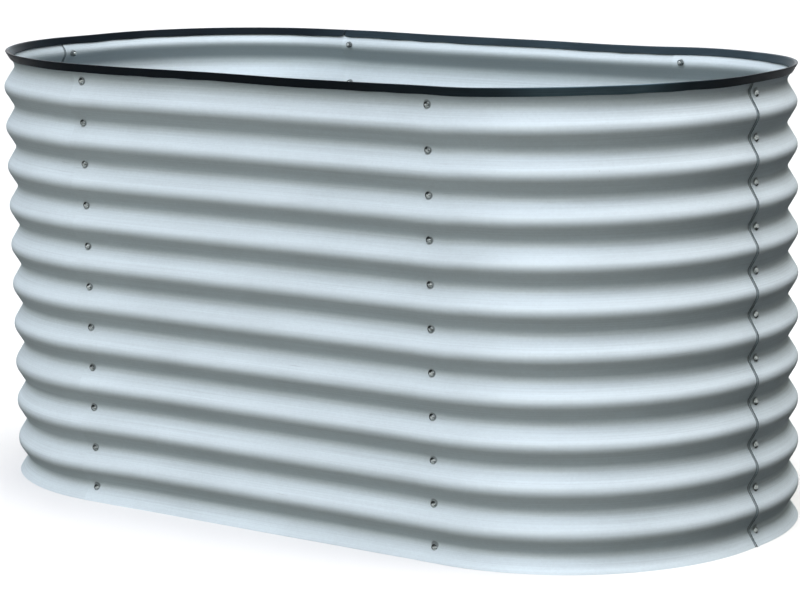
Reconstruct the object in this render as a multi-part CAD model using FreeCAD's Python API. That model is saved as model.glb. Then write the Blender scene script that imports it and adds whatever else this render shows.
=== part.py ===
"""Raised garden bed: six corrugated steel panels bolted into an oval wall.

Two straight side panels and four quarter-round corner panels lap over each other
at six upright seams. Every seam has one bolt in each valley of the corrugation.
A U-section strip covers the top edge, and two straps tie the long sides together
at half height. The bed has no floor.

Frame: millimetres, +Z up, origin on the ground at the middle of the oval, X along
the length, -Y towards the front. "Left" and "right" are as seen from the front.
"""

import FreeCAD, Part
import math
import os
from collections import namedtuple

Vector = FreeCAD.Vector
UP = Vector(0, 0, 1)

# ---------------------------------------------------------------- driving dimensions
# The oval, measured over the valleys of the corrugation, where the bolts sit.
VALLEY_LENGTH = 1564.0
VALLEY_WIDTH = 770.0
SHEET_HEIGHT = 822.0

# The corrugated sheet. Depth is from valley to crest on one surface.
SHEET_THICKNESS = 0.6
WAVE_PITCH = 76.2
WAVE_DEPTH = 16.5
WAVE_RADIUS = 20.0
FIRST_VALLEY_HEIGHT = 31.0

# The lapped seams. A lap reaches LAP_EDGE past the bolt row on both sides.
LAP_EDGE = 20.0
LAP_GAP = 0.15
END_SEAM_OFFSET = 9.0
END_BEND_LEAD = 8.0
OUTER_CORNER_FLAT = 33.0
INNER_CORNER_FLAT = 16.0

# The fasteners: dome-head bolt, plain washer and hexagon nut.
BOLT_DIAMETER = 6.0
BOLT_TAIL = 3.0
HEAD_DIAMETER = 11.5
HEAD_HEIGHT = 3.3
SHEET_HOLE_CLEARANCE = 0.5
WASHER_DIAMETER = 12.0
WASHER_THICKNESS = 1.6
WASHER_HOLE_CLEARANCE = 0.2
NUT_ACROSS_FLATS = 10.0
NUT_THICKNESS = 5.0
NUT_BORE_CLEARANCE = 0.05
SEAT_CLEARANCE = 0.1

# The U-section strip over the top edge.
EDGING_LIP_HEIGHT = 15.0
EDGING_WALL = 1.6
EDGING_CLEARANCE = 0.15
EDGING_TOP_ROUND = 2.0
EDGING_JOINT_GAP = 1.2

# The straps inside: flat bar with both ends bent up to take a seam bolt.
STRAP_THICKNESS = 3.0
STRAP_EDGE_MARGIN = 9.5
STRAP_HOLE_RISE = 20.0
STRAP_TAB_MARGIN = 14.0
STRAP_BEND_RADIUS = 4.0

# ---------------------------------------------------------------- derived dimensions
HALF_LENGTH = VALLEY_LENGTH / 2
HALF_WIDTH = VALLEY_WIDTH / 2
HALF_PITCH = WAVE_PITCH / 2

# The straight flank of the wave is the common tangent of a valley arc and a crest arc.
CENTRE_OVERLAP = 2 * WAVE_RADIUS - WAVE_DEPTH
CENTRE_DISTANCE = math.hypot(HALF_PITCH, CENTRE_OVERLAP)
FLANK_LEAN = math.asin(2 * WAVE_RADIUS / CENTRE_DISTANCE) - math.atan2(CENTRE_OVERLAP, HALF_PITCH)

# Sheets lap by a sideways shift, so the shift is wide enough to clear on the leaning flanks.
LAYER_STEP = (SHEET_THICKNESS + LAP_GAP) / math.cos(FLANK_LEAN)

# A corner bends only after the lap at the bed's end, apart from the lead.
END_FLAT = END_SEAM_OFFSET + LAP_EDGE - END_BEND_LEAD
CORNER_RADIUS = HALF_WIDTH - END_FLAT
BEND_START = HALF_LENGTH - CORNER_RADIUS
OUTER_SEAM_X = BEND_START - OUTER_CORNER_FLAT
INNER_SEAM_X = BEND_START - INNER_CORNER_FLAT

VALLEY_COUNT = int((SHEET_HEIGHT - FIRST_VALLEY_HEIGHT) // WAVE_PITCH) + 1
VALLEY_HEIGHTS = [FIRST_VALLEY_HEIGHT + WAVE_PITCH * row for row in range(VALLEY_COUNT)]
STRAP_ROW = VALLEY_COUNT // 2

# One upright seam: foot is its point on the middle layer, outward is square to the wall,
# and the layers say how many steps out the outer and the inner sheet lie there.
Seam = namedtuple("Seam", "name foot outward outer_layer inner_layer strapped")

SEAMS = [
    Seam("front_left", Vector(-INNER_SEAM_X, -HALF_WIDTH, 0), Vector(0, -1, 0), 0, -1, True),
    Seam("front_right", Vector(OUTER_SEAM_X, -HALF_WIDTH, 0), Vector(0, -1, 0), 1, 0, True),
    Seam("right_end", Vector(HALF_LENGTH, END_SEAM_OFFSET, 0), Vector(1, 0, 0), 1, 0, False),
    Seam("back_right", Vector(INNER_SEAM_X, HALF_WIDTH, 0), Vector(0, 1, 0), 0, -1, True),
    Seam("back_left", Vector(-OUTER_SEAM_X, HALF_WIDTH, 0), Vector(0, 1, 0), 1, 0, True),
    Seam("left_end", Vector(-HALF_LENGTH, -END_SEAM_OFFSET, 0), Vector(-1, 0, 0), 1, 0, False),
]


# ---------------------------------------------------------------- helpers
def solid_of(shape):
    """Return the single solid that a boolean result holds."""
    cleaned = shape.removeSplitter()
    return cleaned.Solids[0]


def half_turn(shape):
    """Return a copy turned by 180 degrees about the bed's upright axis."""
    turned = shape.copy()
    turned.rotate(Vector(0, 0, 0), UP, 180)
    return turned


def arc(centre, radius, start_angle, end_angle):
    """Return an arc edge in the upright section plane, with angles in radians."""
    def point(angle):
        return centre + Vector(0, radius * math.cos(angle), radius * math.sin(angle))

    middle_angle = (start_angle + end_angle) / 2
    return Part.Arc(point(start_angle), point(middle_angle), point(end_angle)).toShape()


def line(start, end):
    """Return a straight edge."""
    return Part.LineSegment(start, end).toShape()


def ends_of(edge):
    """Return the first and the last point of an edge."""
    return edge.valueAt(edge.FirstParameter), edge.valueAt(edge.LastParameter)


def lies_at(edge, height):
    """Say whether both ends of an edge are at one height."""
    return all(math.isclose(vertex.Z, height, abs_tol=0.001) for vertex in edge.Vertexes)


# ---------------------------------------------------------------- the corrugated sheet
def wave_edges(growth):
    """Return the edges of one surface of the corrugation, from below the ground to above the rim.

    The section plane is X = 0 with Y outwards. growth is how far the surface lies outside
    the sheet's middle surface, so crest arcs widen by it and valley arcs tighten by it.
    """
    middle = -SHEET_THICKNESS / 2
    valley_centre = middle + WAVE_RADIUS
    crest_centre = middle + WAVE_DEPTH - WAVE_RADIUS
    edges = []
    for turn in range(-3, 2 * VALLEY_COUNT + 2):
        height = FIRST_VALLEY_HEIGHT + HALF_PITCH * turn
        if turn % 2:
            centre = Vector(0, crest_centre, height)
            bend = arc(centre, WAVE_RADIUS + growth, -FLANK_LEAN, FLANK_LEAN)
        else:
            centre = Vector(0, valley_centre, height)
            bend = arc(centre, WAVE_RADIUS - growth, math.pi + FLANK_LEAN, math.pi - FLANK_LEAN)
        if edges:
            edges.append(line(ends_of(edges[-1])[1], ends_of(bend)[0]))
        edges.append(bend)
    return edges


def wave_section(outer_growth, inner_growth, low, high):
    """Return the face between two surfaces of the corrugation, trimmed to a band of height.

    Y = 0 is the sheet's outer surface in the valleys.
    """
    outer = wave_edges(SHEET_THICKNESS / 2 + outer_growth)
    inner = wave_edges(-SHEET_THICKNESS / 2 - inner_growth)
    foot = line(ends_of(inner[0])[0], ends_of(outer[0])[0])
    head = line(ends_of(outer[-1])[1], ends_of(inner[-1])[1])
    full = Part.Face(Part.Wire(Part.__sortEdges__(outer + inner + [foot, head])))
    reach = WAVE_DEPTH + WAVE_RADIUS
    corners = [Vector(0, -reach, low), Vector(0, reach, low), Vector(0, reach, high), Vector(0, -reach, high)]
    band = Part.Face(Part.makePolygon(corners + corners[:1]))
    return full.common(band).Faces[0]


def side_run(section, plane, start, end):
    """Extrude a section along the back side from start to end, with its valleys on plane."""
    placed = section.copy()
    placed.translate(Vector(start, plane, 0))
    return placed.extrude(Vector(end - start, 0, 0))


def corner_bend(section, side_plane, end_plane):
    """Turn a section through the back-right quarter, from the side to the end of the bed."""
    centre = Vector(end_plane - CORNER_RADIUS, side_plane - CORNER_RADIUS, 0)
    placed = section.copy()
    placed.translate(Vector(centre.x, side_plane, 0))
    return placed.revolve(centre, UP, -90)


def end_run(section, plane, start, end):
    """Extrude a section along the right end from start to end, with its valleys on plane."""
    placed = section.copy()
    placed.rotate(Vector(0, 0, 0), UP, -90)
    placed.translate(Vector(plane, start, 0))
    return placed.extrude(Vector(0, end - start, 0))


def quarter(section, side_layer, end_layer, side_end, end_end):
    """Join side flat, bend and end flat into one back-right quarter, without holes."""
    side_plane = HALF_WIDTH + side_layer * LAYER_STEP
    end_plane = HALF_LENGTH + end_layer * LAYER_STEP
    side_flat = side_run(section, side_plane, side_end, end_plane - CORNER_RADIUS)
    bend = corner_bend(section, side_plane, end_plane)
    end_flat = end_run(section, end_plane, side_plane - CORNER_RADIUS, end_end)
    return solid_of(side_flat.fuse([bend, end_flat]))


def drilled(panel, seams):
    """Drill a panel's bolt holes, one in every valley of the given seams."""
    radius = BOLT_DIAMETER / 2 + SHEET_HOLE_CLEARANCE
    drills = []
    for seam in seams:
        for height in VALLEY_HEIGHTS:
            start = seam.foot - seam.outward * WAVE_DEPTH + UP * height
            drills.append(Part.makeCylinder(radius, 2 * WAVE_DEPTH, start, seam.outward))
    return solid_of(panel.cut(drills))


def build_panels():
    """Return the six wall panels by node name.

    Seen from outside, the left edge of each panel lies over the right edge of the next.
    """
    front_left, front_right, right_end, back_right, back_left, left_end = SEAMS
    sheet = wave_section(0, 0, 0, SHEET_HEIGHT)

    side = side_run(sheet, HALF_WIDTH, -OUTER_SEAM_X - LAP_EDGE, INNER_SEAM_X + LAP_EDGE)
    right_quarter = quarter(sheet, -1, 1, INNER_SEAM_X - LAP_EDGE, END_SEAM_OFFSET - LAP_EDGE)
    outer_quarter = quarter(sheet, 1, 0, OUTER_SEAM_X - LAP_EDGE, -END_SEAM_OFFSET - LAP_EDGE)
    front_quarter = outer_quarter.mirror(Vector(0, 0, 0), Vector(0, 1, 0))

    return {
        "front_side_panel": drilled(half_turn(side), [front_left, front_right]),
        "back_side_panel": drilled(side, [back_left, back_right]),
        "front_right_corner_panel": drilled(front_quarter, [front_right, right_end]),
        "back_left_corner_panel": drilled(half_turn(front_quarter), [back_left, left_end]),
        "back_right_corner_panel": drilled(right_quarter, [back_right, right_end]),
        "front_left_corner_panel": drilled(half_turn(right_quarter), [front_left, left_end]),
    }


# ---------------------------------------------------------------- the rim strip
def edging_section():
    """Return the strip's U section, whose lips follow the leaning top of the sheet."""
    slot = LAYER_STEP + EDGING_CLEARANCE
    slot_top = SHEET_HEIGHT + EDGING_CLEARANCE
    strip_top = slot_top + EDGING_WALL
    strip_bottom = SHEET_HEIGHT - EDGING_LIP_HEIGHT
    whole = wave_section(slot + EDGING_WALL, slot + EDGING_WALL, strip_bottom, strip_top)
    inside = wave_section(slot, slot, strip_bottom - EDGING_WALL, slot_top)
    return whole.cut(inside).Faces[0]


def build_edging():
    """Return the U-section strip: one length round the whole rim, with its joint at the back."""
    section = edging_section()
    side = side_run(section, HALF_WIDTH, -BEND_START, BEND_START)
    bend = corner_bend(section, HALF_WIDTH, HALF_LENGTH)
    end = end_run(section, HALF_LENGTH, END_FLAT, -END_FLAT)
    front_bend = bend.mirror(Vector(0, 0, 0), Vector(0, 1, 0))
    half = [side, bend, end, front_bend]
    ring = half[0].fuse(half[1:] + [half_turn(piece) for piece in half])

    joint_x = -OUTER_SEAM_X - LAP_EDGE
    reach = WAVE_DEPTH + WAVE_RADIUS
    corner = Vector(joint_x - EDGING_JOINT_GAP / 2, HALF_WIDTH - reach, 0)
    joint = Part.makeBox(EDGING_JOINT_GAP, 2 * reach, SHEET_HEIGHT + reach, corner)
    strip = solid_of(ring.cut(joint))

    strip_top = SHEET_HEIGHT + EDGING_CLEARANCE + EDGING_WALL
    top_edges = [edge for edge in strip.Edges if lies_at(edge, strip_top)]
    long_edges = [edge for edge in top_edges if edge.Length > LAP_EDGE / 2]
    return strip.makeFillet(EDGING_TOP_ROUND, long_edges).Solids[0]


# ---------------------------------------------------------------- the fasteners
def is_strapped(seam, row):
    """Say whether a strap hangs on this bolt."""
    return seam.strapped and row == STRAP_ROW


def stack_depth(seam, row):
    """Return how far the face under the washer lies from the seam's middle layer, outwards."""
    inner_face = seam.inner_layer * LAYER_STEP - SHEET_THICKNESS - SEAT_CLEARANCE
    if is_strapped(seam, row):
        return inner_face - STRAP_THICKNESS
    return inner_face


def placed_on_seam(local, seam, height):
    """Put a piece made along +X, with X = 0 on the middle layer, on its place at a seam."""
    turned = local.copy()
    angle = math.degrees(math.atan2(seam.outward.y, seam.outward.x))
    turned.rotate(Vector(0, 0, 0), UP, angle)
    turned.translate(seam.foot + UP * height)
    return turned


def head_seat(seam):
    """Return where the head's flat underside rests on the hollow of the valley, outwards."""
    hollow = WAVE_RADIUS - SHEET_THICKNESS / 2
    sag = hollow - math.sqrt(hollow ** 2 - (HEAD_DIAMETER / 2) ** 2)
    return seam.outer_layer * LAYER_STEP + sag + SEAT_CLEARANCE


def make_bolt(seam, row):
    """Return one bolt with a domed head and a plain shank."""
    seat = head_seat(seam)
    tail = stack_depth(seam, row) - WASHER_THICKNESS - NUT_THICKNESS - BOLT_TAIL
    rim = HEAD_DIAMETER / 2
    shank_radius = BOLT_DIAMETER / 2
    dome_radius = (rim ** 2 + HEAD_HEIGHT ** 2) / (2 * HEAD_HEIGHT)
    dome_centre = seat + HEAD_HEIGHT - dome_radius
    rim_angle = math.atan2(rim, seat - dome_centre)
    shoulder = Vector(
        dome_centre + dome_radius * math.cos(rim_angle / 2),
        dome_radius * math.sin(rim_angle / 2),
        0,
    )
    crown = Part.Arc(Vector(seat, rim, 0), shoulder, Vector(seat + HEAD_HEIGHT, 0, 0)).toShape()
    outline = [
        Vector(seat + HEAD_HEIGHT, 0, 0),
        Vector(tail, 0, 0),
        Vector(tail, shank_radius, 0),
        Vector(seat, shank_radius, 0),
        Vector(seat, rim, 0),
    ]
    sides = [line(start, end) for start, end in zip(outline, outline[1:])]
    profile = Part.Face(Part.Wire(sides + [crown]))
    return profile.revolve(Vector(0, 0, 0), Vector(1, 0, 0), 360)


def make_washer(seam, row):
    """Return the plain washer under one nut."""
    outer_face = stack_depth(seam, row)
    start = Vector(outer_face - WASHER_THICKNESS, 0, 0)
    along = Vector(1, 0, 0)
    disc = Part.makeCylinder(WASHER_DIAMETER / 2, WASHER_THICKNESS, start, along)
    hole = Part.makeCylinder(BOLT_DIAMETER / 2 + WASHER_HOLE_CLEARANCE, WASHER_THICKNESS, start, along)
    return disc.cut(hole).Solids[0]


def make_nut(seam, row):
    """Return one hexagon nut."""
    outer_face = stack_depth(seam, row) - WASHER_THICKNESS
    start = Vector(outer_face - NUT_THICKNESS, 0, 0)
    corner_radius = NUT_ACROSS_FLATS / math.sqrt(3)
    corners = []
    for side in range(6):
        angle = math.radians(60 * side)
        corners.append(start + Vector(0, corner_radius * math.cos(angle), corner_radius * math.sin(angle)))
    hexagon = Part.Face(Part.makePolygon(corners + corners[:1]))
    body = hexagon.extrude(Vector(NUT_THICKNESS, 0, 0))
    bore = Part.makeCylinder(
        BOLT_DIAMETER / 2 + NUT_BORE_CLEARANCE, NUT_THICKNESS, start, Vector(1, 0, 0)
    )
    return body.cut(bore).Solids[0]


def seam_group(maker, seam):
    """Return one kind of fastener for every valley of a seam, as a group of solids."""
    pieces = []
    for row, height in enumerate(VALLEY_HEIGHTS):
        pieces.append(placed_on_seam(maker(seam, row), seam, height))
    return Part.makeCompound(pieces)


def build_fasteners():
    """Return bolts, washers and nuts by node name, one node of each kind to a seam."""
    groups = {}
    for seam in SEAMS:
        groups[seam.name + "_seam_bolts"] = seam_group(make_bolt, seam)
        groups[seam.name + "_seam_washers"] = seam_group(make_washer, seam)
        groups[seam.name + "_seam_nuts"] = seam_group(make_nut, seam)
    return groups


# ---------------------------------------------------------------- the straps
def strap_outline(front_face, back_face):
    """Return the strap's section in the Y-Z plane, from its front tab to its back tab.

    Z = 0 is the underside of the strap, and the faces are where the tabs meet the walls.
    """
    tab_top = STRAP_HOLE_RISE + STRAP_TAB_MARGIN
    outer_radius = STRAP_BEND_RADIUS + STRAP_THICKNESS
    front_bend = Vector(0, front_face + outer_radius, outer_radius)
    back_bend = Vector(0, back_face - outer_radius, outer_radius)
    down = -math.pi / 2
    edges = []
    for radius in (outer_radius, STRAP_BEND_RADIUS):
        edges.append(arc(front_bend, radius, math.pi, -down * 3))
        edges.append(arc(back_bend, radius, down, 0))
        edges.append(line(front_bend + Vector(0, 0, -radius), back_bend + Vector(0, 0, -radius)))
        edges.append(line(front_bend + Vector(0, -radius, 0), Vector(0, front_bend.y - radius, tab_top)))
        edges.append(line(back_bend + Vector(0, radius, 0), Vector(0, back_bend.y + radius, tab_top)))
    for face, inward in ((front_face, STRAP_THICKNESS), (back_face, -STRAP_THICKNESS)):
        edges.append(line(Vector(0, face, tab_top), Vector(0, face + inward, tab_top)))
    return Part.Face(Part.Wire(Part.__sortEdges__(edges)))


def make_strap(front_seam, back_seam):
    """Return the strap that ties a front seam to the back seam opposite."""
    inset = SHEET_THICKNESS + SEAT_CLEARANCE
    front_face = -HALF_WIDTH - front_seam.inner_layer * LAYER_STEP + inset
    back_face = HALF_WIDTH + back_seam.inner_layer * LAYER_STEP - inset
    low_x = min(front_seam.foot.x, back_seam.foot.x) - STRAP_EDGE_MARGIN
    high_x = max(front_seam.foot.x, back_seam.foot.x) + STRAP_EDGE_MARGIN
    bolt_height = VALLEY_HEIGHTS[STRAP_ROW]
    bar = strap_outline(front_face, back_face).extrude(Vector(high_x - low_x, 0, 0))
    bar.translate(Vector(low_x, 0, bolt_height - STRAP_HOLE_RISE))

    radius = BOLT_DIAMETER / 2 + SHEET_HOLE_CLEARANCE
    drills = []
    for seam in (front_seam, back_seam):
        start = seam.foot - seam.outward * (2 * WAVE_RADIUS) + UP * bolt_height
        drills.append(Part.makeCylinder(radius, 2 * WAVE_RADIUS, start, seam.outward))
    return solid_of(bar.cut(drills))


def build_straps():
    """Return the two straps by node name."""
    front_left, front_right, _, back_right, back_left, _ = SEAMS
    return {
        "left_cross_strap": make_strap(front_left, back_left),
        "right_cross_strap": make_strap(front_right, back_right),
    }


# ---------------------------------------------------------------- output
def main():
    """Build every piece and write it under its own name."""
    os.makedirs("parts", exist_ok=True)
    nodes = {}
    nodes.update(build_panels())
    nodes["rim_edging"] = build_edging()
    nodes.update(build_fasteners())
    nodes.update(build_straps())
    for name, shape in nodes.items():
        shape.exportStep("parts/" + name + ".step")
        print(name, "solids", len(shape.Solids), "valid", shape.isValid(), "volume", round(shape.Volume, 1))


main()
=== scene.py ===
"""Looks of the raised garden bed: sheets, rim edging and fasteners, their finishes and the studio.

Everything is in metres, in the frame of the packed model: +Z up, the origin on the ground
at the middle of the oval, X along the length and -Y towards the front.
"""

import logging
import math
from dataclasses import dataclass
from enum import Enum
from typing import Any, Callable, Optional, Union

import bmesh
import bpy
import numpy as np
from mathutils import Matrix, Vector


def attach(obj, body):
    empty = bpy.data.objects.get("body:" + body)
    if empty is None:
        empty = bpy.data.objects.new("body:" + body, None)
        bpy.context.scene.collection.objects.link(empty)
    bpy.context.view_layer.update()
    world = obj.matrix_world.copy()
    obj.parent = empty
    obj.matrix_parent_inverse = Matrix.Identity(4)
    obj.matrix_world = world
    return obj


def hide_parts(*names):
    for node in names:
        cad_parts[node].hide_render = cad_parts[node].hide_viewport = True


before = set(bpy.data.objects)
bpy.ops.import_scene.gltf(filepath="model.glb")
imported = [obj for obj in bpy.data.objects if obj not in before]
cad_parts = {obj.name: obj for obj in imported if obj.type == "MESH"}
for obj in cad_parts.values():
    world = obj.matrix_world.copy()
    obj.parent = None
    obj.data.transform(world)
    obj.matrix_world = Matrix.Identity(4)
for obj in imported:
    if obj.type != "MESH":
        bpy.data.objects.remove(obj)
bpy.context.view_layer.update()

logging.basicConfig(level=logging.INFO, format="%(message)s")
LOG = logging.getLogger("garden_bed")
# Angles of the bolt head's side that carries painted shade, a dark crescent standing for shade and dark
# reflection, turned the other way at the right end.
LEFT_PAINTED_SHADE = math.radians(140.0)
RIGHT_PAINTED_SHADE = math.radians(-50.0)
MM = 0.001
FULL_TURN = 2 * math.pi
HALF_TURN = math.pi
QUARTER_TURN = math.pi / 2

Array = np.ndarray
Colour = tuple[float, float, float]
Material = bpy.types.Material
Number = Union[float, "Reading"]
Socket = bpy.types.NodeSocket


# ---------------------------------------------------------------- shader benches
def math_method(operation: str, words: str, reflected: bool = False) -> Callable[..., "Reading"]:
    """Make a method of Reading that adds one Math node.

    Args:
        operation: The Math node's operation.
        words: The method's docstring.
        reflected: Whether the reading comes last.

    Returns:
        The method.
    """

    def method(self: "Reading", *others: Number) -> "Reading":
        """Return the Math node's result."""
        values = (*others, self) if reflected else (self, *others)
        inputs = dict(enumerate(values))
        return self.bench.reading(self.bench.node("ShaderNodeMath", {"operation": operation}, inputs))

    method.__doc__ = words
    return method


class Reading:
    """A number that varies over a surface: one socket of a shader graph, with arithmetic."""

    def __init__(self, bench: "Bench", socket: Socket) -> None:
        """Wrap a socket of a bench's graph."""
        self.bench = bench
        self.socket = socket

    __add__ = math_method("ADD", "Return self + other.")
    __radd__ = math_method("ADD", "Return other + self.", reflected=True)
    __sub__ = math_method("SUBTRACT", "Return self - other.")
    __rsub__ = math_method("SUBTRACT", "Return other - self.", reflected=True)
    __mul__ = math_method("MULTIPLY", "Return self * other.")
    __rmul__ = math_method("MULTIPLY", "Return other * self.", reflected=True)
    at_most = math_method("MINIMUM", "Return the smaller of self and other.")
    at_least = math_method("MAXIMUM", "Return the larger of self and other.")
    above = math_method("GREATER_THAN", "Return 1 where self is greater than other, and 0 elsewhere.")
    cosine = math_method("COSINE", "Return the cosine of self in radians.")
    sine = math_method("SINE", "Return the sine of self in radians.")
    size = math_method("ABSOLUTE", "Return self without its sign.")
    wrapped = math_method("WRAP", "Return self brought between a high and a low limit.")

    def folded(self, span: float) -> "Reading":
        """Return self brought between minus and plus half a span by whole spans."""
        return self.wrapped(span / 2, -span / 2)



class Bench:
    """A node graph and the ways to add to it."""

    def __init__(self, owner: Union[Material, bpy.types.World]) -> None:
        """Start with an empty graph.

        Args:
            owner: The material or the world that the graph belongs to.
        """
        owner.use_nodes = True
        self.owner = owner
        self.tree = owner.node_tree
        self.tree.nodes.clear()

    @classmethod
    def for_finish(cls, name: str) -> "Bench":
        """Return the bench of a new material."""
        return cls(bpy.data.materials.new(name))

    def node(
        self,
        kind: str,
        settings: Optional[dict[str, Any]] = None,
        inputs: Optional[dict[Union[str, int], Any]] = None,
    ) -> bpy.types.Node:
        """Add one node of any kind.

        Args:
            kind: The node's type.
            settings: Properties set before the sockets; "stops" holds a ramp's stops.
            inputs: Values, readings or sockets by the name or number of the socket.

        Returns:
            The new node.
        """
        made = self.tree.nodes.new(kind)
        for name, value in (settings or {}).items():
            if name == "stops":
                self._set_stops(made.color_ramp, value)
            else:
                setattr(made, name, value)
        for key, value in (inputs or {}).items():
            socket = made.inputs[key]
            if isinstance(value, Reading):
                value = value.socket
            if isinstance(value, Socket):
                self.tree.links.new(value, socket)
            elif isinstance(value, tuple) and socket.type == "RGBA":
                socket.default_value = (*value, 1.0)
            else:
                socket.default_value = value
        return made

    @staticmethod
    def _set_stops(ramp: bpy.types.ColorRamp, stops: list[tuple[float, Colour]]) -> None:
        """Give a ramp its stops, each a position and a colour."""
        while len(ramp.elements) < len(stops):
            ramp.elements.new(1.0)
        for element, (position, colour) in zip(ramp.elements, stops):
            element.position = position
            element.color = (*colour, 1.0)

    def reading(self, node: bpy.types.Node, output: Union[str, int] = 0) -> Reading:
        """Return one output of a node as a reading."""
        return Reading(self, node.outputs[output])

    def sheet_point(self) -> Socket:
        """Return the piece's own UV map: metres along the surface in u and across it in v."""
        return self.node("ShaderNodeTexCoord").outputs["UV"]

    def place(self) -> Socket:
        """Return the place on the piece in metres."""
        return self.node("ShaderNodeTexCoord").outputs["Object"]

    def parts(self, value: Socket, kind: str = "XYZ") -> list[Reading]:
        """Return the three parts of a vector, or of a colour where the kind is Color."""
        node = self.node(f"ShaderNodeSeparate{kind}", None, {0: value})
        return [Reading(self, output) for output in node.outputs]

    def stretched(self, point: Socket, scale: tuple, shift: tuple = (0.0, 0.0, 0.0)) -> Socket:
        """Return a point that is scaled, and then shifted, along each axis."""
        inputs = {"Vector": point, "Scale": scale, "Location": shift}
        return self.node("ShaderNodeMapping", None, inputs).outputs[0]

    def noise(self, point: Socket, scale: float, detail: float = 2.0, rough: float = 0.5) -> Reading:
        """Return smooth noise around 0.5: features to a metre, finer octaves and their strength."""
        inputs = {"Vector": point, "Scale": scale, "Detail": detail, "Roughness": rough}
        return self.reading(self.node("ShaderNodeTexNoise", {"noise_dimensions": "3D"}, inputs))

    def streaks(
        self,
        point: Socket,
        scale: tuple,
        shift: tuple = (0.0, 0.0, 0.0),
        detail: float = 2.0,
        rough: float = 0.5,
    ) -> Reading:
        """Return noise on a point that is scaled and shifted, so that it runs in streaks."""
        return self.noise(self.stretched(point, scale, shift), 1.0, detail, rough)

    def ramp(self, value: Reading, low: float, high: float) -> Reading:
        """Map a reading from low..high onto 0..1, held and eased at both ends.

        Args:
            value: The reading.
            low: Where the result is 0.
            high: Where the result is 1.

        Returns:
            The mapped reading.
        """
        settings = {"interpolation_type": "SMOOTHSTEP", "clamp": True}
        inputs = {"Value": value, "From Min": low, "From Max": high}
        return self.reading(self.node("ShaderNodeMapRange", settings, inputs))

    def tint(self, share: Number, base: Any, other: Any) -> Socket:
        """Return the mix of two colours, with that share of the other one."""
        settings = {"data_type": "RGBA", "blend_type": "MIX", "clamp_factor": True}
        return self.node("ShaderNodeMix", settings, {0: share, 6: base, 7: other}).outputs[2]

    def bump(self, height: Reading, distance: float, strength: float = 1.0) -> Socket:
        """Return the normal of a relief that is distance metres deep where its height is 1."""
        inputs = {"Height": height, "Distance": distance, "Strength": strength}
        return self.node("ShaderNodeBump", None, inputs).outputs[0]

    def finish(self, **inputs: Any) -> Material:
        """Close the graph with a Principled shader.

        Args:
            inputs: Its values and links, with underscores for spaces.

        Returns:
            The finished material.
        """
        named = {name.replace("_", " "): value for name, value in inputs.items()}
        shader = self.node("ShaderNodeBsdfPrincipled", None, named)
        self.node("ShaderNodeOutputMaterial", None, {"Surface": shader.outputs[0]})
        return self.owner

    def seen_share(self) -> Reading:
        """Return 1 for rays from the camera, off gloss and through glass, and 0 for lighting."""
        path = self.node("ShaderNodeLightPath")
        seen = self.reading(path, "Is Camera Ray").at_least(self.reading(path, "Is Glossy Ray"))
        return seen.at_least(self.reading(path, "Is Transmission Ray"))


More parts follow.
